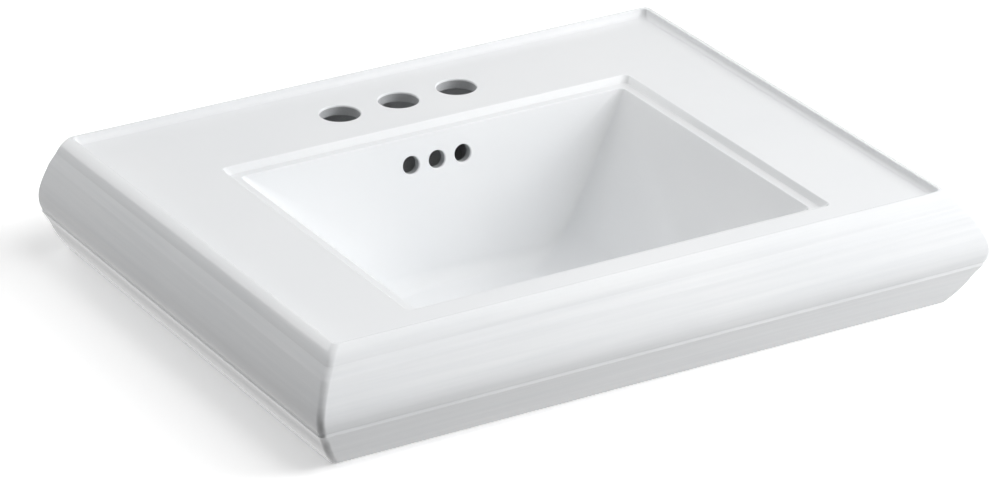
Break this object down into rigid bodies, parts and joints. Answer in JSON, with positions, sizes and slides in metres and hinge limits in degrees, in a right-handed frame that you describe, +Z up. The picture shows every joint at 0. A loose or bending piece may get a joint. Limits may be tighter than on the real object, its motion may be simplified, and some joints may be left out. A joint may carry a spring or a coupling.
{
  "type": "pedestal sink basin",
  "caption": "Rectangular vitreous china pedestal sink basin with a moulded apron, a stepped bowl edge, faucet and overflow holes, a push waste and wall bolts",
  "frame": {"origin": "on the wall plane at the flat back of the basin, midway between the two wall bolts", "axes": "+X to the right as seen from the front, +Y into the wall, so the front faces -Y, +Z up"},
  "size_m": [0.5608, 0.4839, 0.189],
  "materials": {
    "china": "smooth white vitreous china under a glossy clear glaze",
    "chrome": "polished chrome plate on brass",
    "brass": "plain turned brass",
    "steel": "bright zinc-plated steel",
    "rubber": "soft black rubber",
    "nylon": "natural white nylon"
  },
  "bodies": {
    "root": {"basin": "china", "waste_body": "chrome", "flange_seal": "rubber", "cone_washer": "rubber", "friction_washer": "nylon", "locknut": "brass", "cartridge": "brass", "guide_cap": "brass", "stopper_spring": "steel", "left_bolt": "steel", "right_bolt": "steel", "left_sleeve": "nylon", "right_sleeve": "nylon", "left_washer": "steel", "right_washer": "steel", "left_nut": "steel", "right_nut": "steel"},
    "stopper": {"stopper_stem": "brass", "stopper_cap": "chrome", "stopper_seal": "rubber"}
  },
  "joints": [
    {"name": "stopper_press", "type": "slide", "parent": "root", "child": "stopper", "axis": [0, 0, 1], "range_m": [-0.009, 0], "stiffness_N_per_m": 500, "springref_m": 0.005, "deforming": ["stopper_spring"]}
  ]
}
